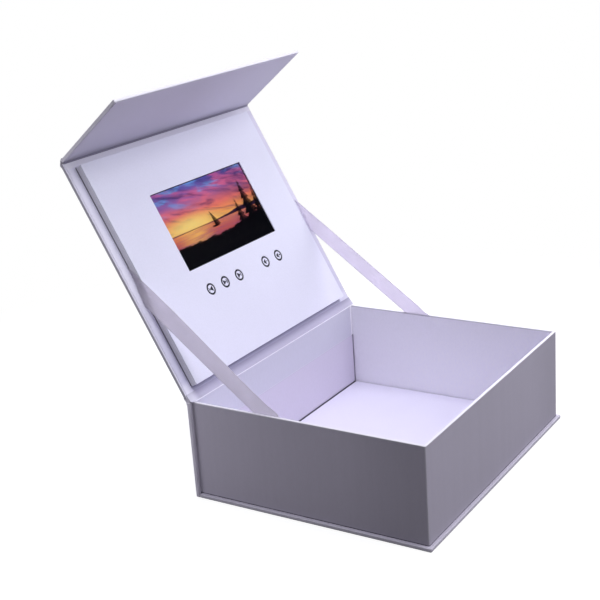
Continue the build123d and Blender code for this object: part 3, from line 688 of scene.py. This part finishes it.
# ---- Ribbons ----
def ribbon_material():
    """Woven satin-edged ribbon: fine cross ribs, tighter edges and light through the weave."""
    shader = Shader("ribbon_weave")
    across, along, _ = shader.split(shader.node("UVMap").outputs[0])

    def threads(value, per_mm):
        wave = shader.math("SINE", shader.times(value, per_mm * 2 * math.pi))
        return shader.plus(shader.times(wave, 0.5), 0.5)

    edge = shader.math("ABSOLUTE", across)
    border = shader.ease(edge, RIBBON_W / 2 - 0.9, RIBBON_W / 2 - 0.5, 0.0, 1.0)
    ribs = shader.times(threads(along, 2.4), shader.minus(1.0, border))
    warp = shader.times(threads(across, 3.1), 0.35)
    weave = shader.plus(ribs, warp)
    soft = shader.noise(shader.place(), 60.0, 3.0, 0.6)
    tone = shader.times(shader.remap(weave, 0.0, 1.35, 0.93, 1.03),
                        shader.remap(soft, 0.3, 0.7, 0.97, 1.03))
    tone = shader.times(tone, shader.remap(border, 0.0, 1.0, 1.0, 0.94))
    # Painted light: the right-hand ribbon drawn lighter and the left-hand one darker.
    painted_light_x = shader.split(shader.place())[0]
    tone = shader.times(tone, shader.remap(painted_light_x, -0.05, 0.05, 0.98, 1.03))
    shade = shader.scaled(srgb(231, 227, 237)[:3], tone)
    normal = shader.bump(weave, 0.05 * MM, 0.5)
    body = shader.principled(Base_Color=shade, Roughness=0.5, Sheen_Weight=0.25,
                             Sheen_Roughness=0.35, Specular_IOR_Level=0.35, Normal=normal)
    through = shader.node("BsdfTranslucent")
    shader.put(through.inputs["Color"], shade)
    shader.put(through.inputs["Normal"], normal)
    shader.surface(shader.mix(0.5, body, through.outputs[0]))
    return shader.material


woven = ribbon_material()


def ribbon(name, node, side, rim_y, lid_v, lid_upper_x, lid_lower_x, tuck_n):
    """A stay ribbon: glued in the wall, straight to the lid, folded flat there and tucked in.

    Its middle crosses the rim at rim_y and meets the lid at lid_v. Its edges meet the lid at
    the two x, and its end lies tuck_n off the lid's inner face.
    """
    foot = Vector((0, rim_y, RIM_Z))
    lid_point = on_lid(0, lid_v, 0) / MM
    run = lid_point - foot
    length = run.length
    forward = run.normalized()
    upward = Vector((0, -forward.z, forward.y))
    to_lid = math.acos(forward.dot(LID_UP))
    inward = -side
    columns, straight, bend_steps, tuck_steps = 17, 110, 6, 10
    bend_r = 0.5
    turn_start, turn_end = 8.0, length - 13.0   # from the wall to the lid's edge
    rows, uvs = [], []
    for index in range(straight + bend_steps + tuck_steps + 1):
        row, row_uv = [], []
        for column in range(columns):
            t = 2 * column / (columns - 1) - 1
            width = t * RIBBON_W / 2
            reach = length + width / math.tan(to_lid) - bend_r
            lid_x = lid_lower_x + (lid_upper_x - lid_lower_x) * smoothstep(t, -1.0, 0.6)
            if index <= straight:
                along = -RIBBON_TAIL + (reach + RIBBON_TAIL) * index / straight
                point = foot + forward * along + upward * width
                bend = smoothstep(along, turn_start, turn_end)
                x = side * RIBBON_WALL_X * (1 - bend) + lid_x * bend
                x += inward * RIBBON_BOW * math.sin(
                    math.pi * smoothstep(along, 0, length)) * (1 - t * t)
                above = point.z - RIM_Z
                curl = smoothstep(t, 0.55, 1.0) * smoothstep(above, 0.5, 2.0)
                curl *= 1 - smoothstep(above, 3.0, 7.0)
                x += inward * RIBBON_CURL * curl
                point.x = x
            else:
                landing = foot + forward * (reach + bend_r) + upward * width
                v_end = (landing - LID_ORIGIN / MM).dot(LID_UP)
                if index <= straight + bend_steps:
                    angle = math.pi / 2 * (index - straight) / bend_steps
                    n = bend_r * (1 - math.sin(angle)) + tuck_n
                    x = lid_x + inward * bend_r * (1 - math.cos(angle))
                    v = v_end - (n - tuck_n) * 0.6
                    along = reach + bend_r * angle
                else:
                    go = RIBBON_TUCK * (index - straight - bend_steps) / tuck_steps
                    n = tuck_n
                    x = lid_x + inward * (bend_r + go)
                    v = v_end
                    along = reach + bend_r * math.pi / 2 + go
                point = on_lid(x, v, n) / MM
            row.append(point * MM)
            row_uv.append((width, along))
        rows.append(row)
        uvs.append(row_uv)
    made = sheet_from_rows(name, rows, RIBBON_T * MM, woven, uvs, creased=True)
    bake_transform(made)
    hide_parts(node)
    f"{node.split('_')[0]}_wall"


ribbon("left_stay_ribbon", "left_ribbon", -1, RIBBON_RIM_Y, RIBBON_LID_V, -99.4, -102.0, 0.2)
ribbon("right_stay_ribbon", "right_ribbon", 1, RIGHT_RIM_Y, RIGHT_LID_V, 104.2, 104.5, -0.16)


# ---- Paper hinges ----
def smooth_profile(points, steps=7):
    """Catmull-Rom points through a few section points."""
    line = []
    for i in range(len(points) - 1):
        before = points[max(i - 1, 0)]
        here, there = points[i], points[i + 1]
        after = points[min(i + 2, len(points) - 1)]
        for step in range(steps):
            s = step / steps
            line.append(0.5 * (2 * here + (there - before) * s
                               + (2 * before - 5 * here + 4 * there - after) * s * s
                               + (3 * here - before - 3 * there + after) * s ** 3))
    line.append(points[-1])
    return line


def section(y, z):
    """A point of a section across the hinge, from millimetres."""
    return Vector((0, y, z)) * MM


def hinge_paper(name, node, profile, colour, widths=(LID_HALF_W, LID_HALF_W),
                thickness=HINGE_PAPER_T, outward=True, bands=()):
    """A bent paper strip along a joint, from the points of its section and its half widths."""
    points = smooth_profile(profile)
    columns = 45
    rows = []
    for index, point in enumerate(points):
        row = []
        spread = smoothstep(index / (len(points) - 1), 0.1, 0.5)
        half = widths[0] + (widths[1] - widths[0]) * spread
        for column in range(columns):
            x = half * (2 * column / (columns - 1) - 1)
            row.append(Vector((x * MM, point.y, point.z)))
        rows.append(row if outward else row[::-1])
    made = sheet_from_rows(name, rows, thickness * MM, paper(name, colour, 0.58, bands=bands))
    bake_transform(made)
    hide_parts(node)


def hinge_end(name, inner, outer, inner_x, outer_x, side, colour):
    """Paper folded over a hinge's end, between the hinge's inner and outer sections."""
    steps, columns = 24, 4
    inner, outer = (smooth_profile(line, steps // (len(line) - 1)) for line in (inner, outer))
    rows = []
    for index, (near, far) in enumerate(zip(inner, outer)):
        spread = smoothstep(index / steps, 0.1, 0.5)
        near_x = inner_x[0] + (inner_x[1] - inner_x[0]) * spread
        row = []
        for column in range(columns + 1):
            share = column / columns
            point = near.lerp(far, 0.02 + 0.96 * share)
            point.x = side * (near_x + (outer_x - near_x) * math.sin(share * math.pi / 2)) * MM
            row.append(point)
        rows.append(row if side > 0 else row[::-1])
    made = sheet_from_rows(name, rows, END_PAPER_T * MM, paper(name, colour, 0.58))
    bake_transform(made)


LID_HINGE_INNER = [section(82.72, 68.55), section(83.0, 68.95), section(84.5, 69.55),
                   on_lid(0, 0.9, 0.12), on_lid(0, 2.8, 0.05)]
LID_HINGE_OUTER = [section(87.52, 66.6), section(87.55, 68.2), section(88.1, 69.2),
                   on_lid(0, 0.5, -2.84), on_lid(0, 1.9, -2.83)]
FLAP_HINGE_INNER = [on_lid(0, 172.7, 0.03), on_lid(0, 173.25, 0.05), on_flap(0, 0.3, 0.05),
                    on_flap(0, 0.7, 0.03)]
FLAP_HINGE_OUTER = [on_lid(0, 171.6, -2.83), on_lid(0, 173.2, -2.84), on_lid(0, 174.6, -1.6),
                    on_flap(0, 0.4, -2.54), on_flap(0, 1.8, -2.53)]
for side, hand in ((-1, "left"), (1, "right")):
    hinge_end(f"lid_hinge_{hand}_end", LID_HINGE_INNER, LID_HINGE_OUTER,
              (CASE_HALF_W - 0.1, LID_HALF_W - 0.35), LID_HALF_W - 0.05, side, LID_WRAP)
    hinge_end(f"flap_hinge_{hand}_end", FLAP_HINGE_INNER, FLAP_HINGE_OUTER,
              (LID_HALF_W - 0.8, LID_HALF_W - 0.8), LID_HALF_W - 0.05, side, SHADED_CREASE_END)

# Painted highlight along the rim, painted shade higher up the strip, and the strip's left end
# kept lighter.
hinge_paper("lid_hinge_inside", "lid_hinge_lining", LID_HINGE_INNER,
            SHADED_HINGE_LINING, (CASE_HALF_W, LID_HALF_W - 0.3), outward=False,
            bands=[(2, 68.95, 69.25, 0.9, PAINTED_LIGHT), (2, 73.5, 69.8, 0.4, HINGE_SHADE),
                   (0, -103.0, -96.5, 0.6, LID_LINING)])
hinge_paper("lid_hinge_outside", "lid_hinge_wrap", LID_HINGE_OUTER, LID_WRAP)
hinge_paper("flap_hinge_inside", "flap_hinge_lining", FLAP_HINGE_INNER,
            SHADED_CREASE_LINING, (LID_HALF_W - 1, LID_HALF_W - 1), CREASE_LINING_T, outward=False)
hinge_paper("flap_hinge_outside", "flap_hinge_wrap", FLAP_HINGE_OUTER, LID_WRAP)


# ---- Side linings, raised where the ribbons are glued behind them ----
def side_lining(name, node, side, rim_y, lid_v):
    """Lining paper of a side wall, as a thin sheet with the ribbon's end showing through."""
    low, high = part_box(node)
    y_low, y_high, z_low, z_high = low.y / MM, high.y / MM, low.z / MM, high.z / MM
    foot = Vector((0, rim_y, RIM_Z))
    forward = (on_lid(0, lid_v, 0) / MM - foot).normalized()
    upward = Vector((0, -forward.z, forward.y))
    columns, lines = 150, 64
    rows = []
    for r in range(lines + 1):
        z = z_low + (z_high - z_low) * r / lines
        row = []
        for c in range(columns + 1):
            y = y_low + (y_high - y_low) * c / columns
            offset = Vector((0, y, z)) - foot
            along, beside = -offset.dot(forward), offset.dot(upward)
            raised = 1 - smoothstep(abs(beside), RIBBON_W / 2 - 0.8, RIBBON_W / 2 + 1.6)
            raised *= 1 - smoothstep(along, RIBBON_TAIL - 1.2, RIBBON_TAIL + 1.8)
            wave = 0.05 * math.sin(y * 0.11 + 0.6) * math.sin(z * 0.083 + 1.1)
            hold = min(smoothstep(y, y_low, y_low + 6), smoothstep(y_high - y, 0, 6),
                       smoothstep(z, z_low, z_low + 6))
            x = side * (WALL_INSIDE - RAISED_T * raised - (0.05 + wave) * hold)
            at_band = BAND_BOTTOM < z and c == columns
            row.append(Vector((x, BAND_FACE_Y if at_band else y, z)) * MM)
        rows.append(row if side < 0 else row[::-1])
    # Painted shade: a dark line along the lining's top edge.
    rim_shade_line = (2, z_high - 0.1, z_high - 0.7, 0.4, PAINTED_SHADE)
    made = sheet_from_rows(name, rows, LINING_SHEET_T * MM,
                           paper(name, LINING, 0.6, bands=[rim_shade_line]))
    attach(made, "case")
    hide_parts(node)


side_lining("left_lining_sheet", "left_lining", -1, RIBBON_RIM_Y, RIBBON_LID_V)
side_lining("right_lining_sheet", "right_lining", 1, RIGHT_RIM_Y, RIGHT_LID_V)


# Lining paper turned into the corner beside the band, over the gap between the walls.
corner_rows = [[Vector((x, CORNER_PAPER_Y, z)) * MM
                for x in (100.1, 100.8, 101.5, 102.2, 102.72)]
               for z in (BAND_BOTTOM + 0.2, 52.0, 60.0, RIM_Z)]
corner_paper = sheet_from_rows("corner_paper", corner_rows, TURNED_PAPER_T * MM,
                               paper("corner_paper", LINING, 0.6))
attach(corner_paper, "case")


# ---- Prints ----
def ink_material():
    """Dark violet-grey print with a slightly uneven edge of tone."""
    shader = Shader("print_ink")
    fine = shader.noise(shader.place(), 5200.0, 3.0, 0.6)
    shade = shader.blend(shader.remap(fine, 0.35, 0.7, 0.0, 0.35), srgb(28, 26, 44),
                         srgb(48, 45, 70))
    shader.principled(Base_Color=shade, Roughness=0.48, Specular_IOR_Level=0.35,
                      Normal=shader.bump(fine, 0.004 * MM, 0.5))
    return shader.material


ink = ink_material()
PRINT_N = FACE_N + 0.004
PRINT_T = 0.02


def print_shapes(name, centre, outlines, level, body, material, thickness=PRINT_T,
                 on_panel=on_lid):
    """Thin flat shapes on a panel, from outlines in millimetres round centre."""
    build = bmesh.new()
    for outline in outlines:
        low = [build.verts.new(on_panel(centre[0] + x, centre[1] + y, level)) for x, y in outline]
        top = [build.verts.new(on_panel(centre[0] + x, centre[1] + y, level + thickness))
               for x, y in outline]
        build.faces.new(top)
        build.faces.new(low[::-1])
        for i in range(len(outline)):
            j = (i + 1) % len(outline)
            build.faces.new((low[i], low[j], top[j], top[i]))
    bmesh.ops.recalc_face_normals(build, faces=build.faces)
    mesh = bpy.data.meshes.new(name)
    build.to_mesh(mesh)
    build.free()
    mesh.materials.append(material)
    made = add_object(name, mesh)
    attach(made, body)


def arrow(x, half, direction):
    """Triangle pointing left (-1) or right (+1), centred on x."""
    points = [(x - direction * half * 0.8, -half), (x + direction * half * 0.9, 0.0),
              (x - direction * half * 0.8, half)]
    return points if direction > 0 else points[::-1]


def bar(x, y, width, height):
    """Rectangle centred on a point."""
    return [(x - width / 2, y - height / 2), (x + width / 2, y - height / 2),
            (x + width / 2, y + height / 2), (x - width / 2, y + height / 2)]


def horn(x):
    """Loudspeaker sign: a box and a cone."""
    return [(x - 1.5, -1.0), (x - 0.7, -1.0), (x + 0.9, -2.1), (x + 0.9, 2.1),
            (x - 0.7, 1.0), (x - 1.5, 1.0)]


signs = {
    "previous": [arrow(0.2, 2.1, -1), bar(-2.0, 0, 0.6, 2.6)],
    "play": [arrow(-0.75, 1.9, 1), bar(1.3, 0, 0.65, 2.9), bar(2.25, 0, 0.65, 2.5)],
    "next": [arrow(-0.2, 2.1, 1), bar(2.0, 0, 0.6, 2.6)],
    "volume_down": [horn(-0.5), bar(1.7, 0, 1.3, 0.7)],
    "volume_up": [horn(-0.5), bar(1.75, 0, 1.7, 0.7), bar(1.75, 0, 0.7, 1.7)],
}
for name, shapes in signs.items():
    button = f"{name}_button"
    low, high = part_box(button)
    middle = (low + high) / 2 - LID_ORIGIN
    heights = [(vertex.co - LID_ORIGIN).dot(LID_UP) for vertex in nodes[button].data.vertices]
    centre = (middle.x / MM, (max(heights) + min(heights)) / 2 / MM)
    dress([button], paper(f"{name}_card", FACE, 0.5, panel=LID_PANEL,
                          ring=(*centre, *RING_RADII)))
    print_shapes(f"{name}_sign", centre, shapes, PRINT_N, button, ink)

# Black printed border round the screen, under the window's edge.
BORDER_W, BORDER_OFFSET = 2.4, 0.6   # its middle line lies outside the window
window_w, window_h = WINDOW_SIZE
border_x, border_y = window_w / 2 + BORDER_OFFSET, window_h / 2 + BORDER_OFFSET
border = [bar(0, side * border_y, window_w + 6, BORDER_W) for side in (1, -1)]
border += [bar(side * border_x, 0, BORDER_W, window_h - 2 * BORDER_OFFSET) for side in (-1, 1)]
black = plain("border_black", (0.004, 0.004, 0.006, 1), 0.35)
print_shapes("screen_border", WINDOW_MID, border, GLASS_N + 0.005, "lid", black)


# Wrap paper turned in over the flap's left outer corner, with a painted shadow line in dark ink
# beside the fold.
fold_x, fold_f = -BOARD_HALF_W + 0.15, FLAP_END - 0.15
print_shapes("left_corner_fold", (fold_x, fold_f), [[(0, 0), (0, -6.5), (1.3, 0)]], 0.01, "flap",
             nodes["flap_board"].data.materials[0], TURNED_PAPER_T, on_flap)
print_shapes("corner_shadow", (fold_x + 0.25, fold_f),
             [[(0, -0.3), (0, -6.2), (0.45, -6.0), (0.45, -0.3)]], 0.12, "flap", ink,
             on_panel=on_flap)


# ---- Studio ----
FLOOR_SIZE, FLOOR_Z = 8.0, -0.0002
FLOOR_MIDDLE = (0, 0.03, 0)
SHADOW_RADIUS, WHITE_RADIUS = 0.22, 0.5


def studio_floor():
    """A pale floor that keeps the object's shadow and goes over to white away from it."""
    bpy.ops.mesh.primitive_plane_add(size=FLOOR_SIZE, location=(0, 0, FLOOR_Z))
    floor = bpy.context.object
    floor.name = "studio_floor"
    shader = Shader("floor_white")
    diffuse = shader.node("BsdfDiffuse")
    shader.put(diffuse.inputs["Color"], (0.3, 0.3, 0.3, 1))
    lift = shader.node("Emission")
    shader.put(lift.inputs["Strength"], 0.84)
    white = shader.node("Emission")
    both = shader.node("AddShader")
    shader.put(both.inputs[0], diffuse.outputs[0])
    shader.put(both.inputs[1], lift.outputs[0])
    away = shader.vector("LENGTH", shader.vector("SUBTRACT", shader.place(), FLOOR_MIDDLE))
    far = shader.ease(away, SHADOW_RADIUS, WHITE_RADIUS, 0.0, 1.0)
    seen = shader.mix(far, both.outputs[0], white.outputs[0])
    shader.surface(shader.mix(shader.camera_rays(), diffuse.outputs[0], seen))
    floor.data.materials.append(shader.material)


def studio_world(level):
    """Soft even light from all round. The camera sees it as plain white."""
    world = bpy.data.worlds.new("studio")
    bpy.context.scene.world = world
    shader = Shader("studio", world)
    soft, white = shader.node("Background"), shader.node("Background")
    shader.put(soft.inputs["Color"], (0.97, 0.97, 1.0, 1))
    shader.put(soft.inputs["Strength"], level)
    shader.put(white.inputs["Color"], (1, 1, 1, 1))
    shader.surface(shader.mix(shader.camera_rays(), soft.outputs[0], white.outputs[0]))


def softbox(name, location, size, power, target=(0, 0.03, 0.1), glossy=True):
    """A square soft light aimed at a point."""
    light = bpy.data.lights.new(name, "AREA")
    light.shape = "SQUARE"
    light.size = size
    light.energy = power
    light.color = (0.965, 0.972, 1.03)
    made = add_object(name, light)
    made.location = location
    made.visible_camera = False
    made.visible_glossy = glossy
    made.rotation_euler = (Vector(target) - Vector(location)).to_track_quat("-Z", "Y").to_euler()


studio_floor()
studio_world(0.02)
softbox("overhead", (0.0, 0.03, 1.6), 1.0, 8.1)
softbox("overhead_left", (-0.8, 0.03, 1.4), 0.8, 1.5)
softbox("overhead_front", (0.0, -1.0, 1.25), 1.0, 10.9)
softbox("overhead_right", (0.8, -0.7, 1.2), 0.8, 5.2)
softbox("right", (1.5, 0.0, 0.5), 1.0, 7.0)
softbox("back_right", (0.8, 0.8, 0.5), 0.6, 8.6)
softbox("front", (0.0, -1.5, 0.35), 1.0, 1.3)
softbox("low_left", (-0.3, 0.28, 0.09), 0.2, 0.36, glossy=False)
softbox("low_right", (0.5, -0.08, 0.12), 0.3, 0.95, glossy=False)

# ---- Camera, at the photograph's viewing angle ----
CAMERA_TARGET = Vector((-24.163, 47.646, 117.589)) * MM
CAMERA_AZIMUTH = math.radians(-56.818)
CAMERA_ELEVATION = math.radians(18.283)
CAMERA_DISTANCE = 840.762 * MM
CAMERA_ROLL = math.radians(-4.157)
CAMERA_LENS = 74.367


def photo_camera():
    """The camera, from its direction round the target, its distance and its roll."""
    back = Vector((math.sin(CAMERA_AZIMUTH) * math.cos(CAMERA_ELEVATION),
                   -math.cos(CAMERA_AZIMUTH) * math.cos(CAMERA_ELEVATION),
                   math.sin(CAMERA_ELEVATION)))
    right = (-back).cross(Vector((0, 0, 1))).normalized()
    upward = right.cross(-back)
    rolled_right = right * math.cos(CAMERA_ROLL) + upward * math.sin(CAMERA_ROLL)
    rolled_up = upward * math.cos(CAMERA_ROLL) - right * math.sin(CAMERA_ROLL)
    data = bpy.data.cameras.new("photo_camera")
    data.lens = CAMERA_LENS
    data.sensor_width = 36.0
    data.clip_start, data.clip_end = 0.01, 50.0
    made = add_object("photo_camera", data)
    turn = Matrix((rolled_right, rolled_up, back)).transposed().to_4x4()
    made.matrix_world = Matrix.Translation(CAMERA_TARGET + back * CAMERA_DISTANCE) @ turn
    bpy.context.scene.camera = made


photo_camera()
bpy.context.scene.view_settings.view_transform = "Standard"
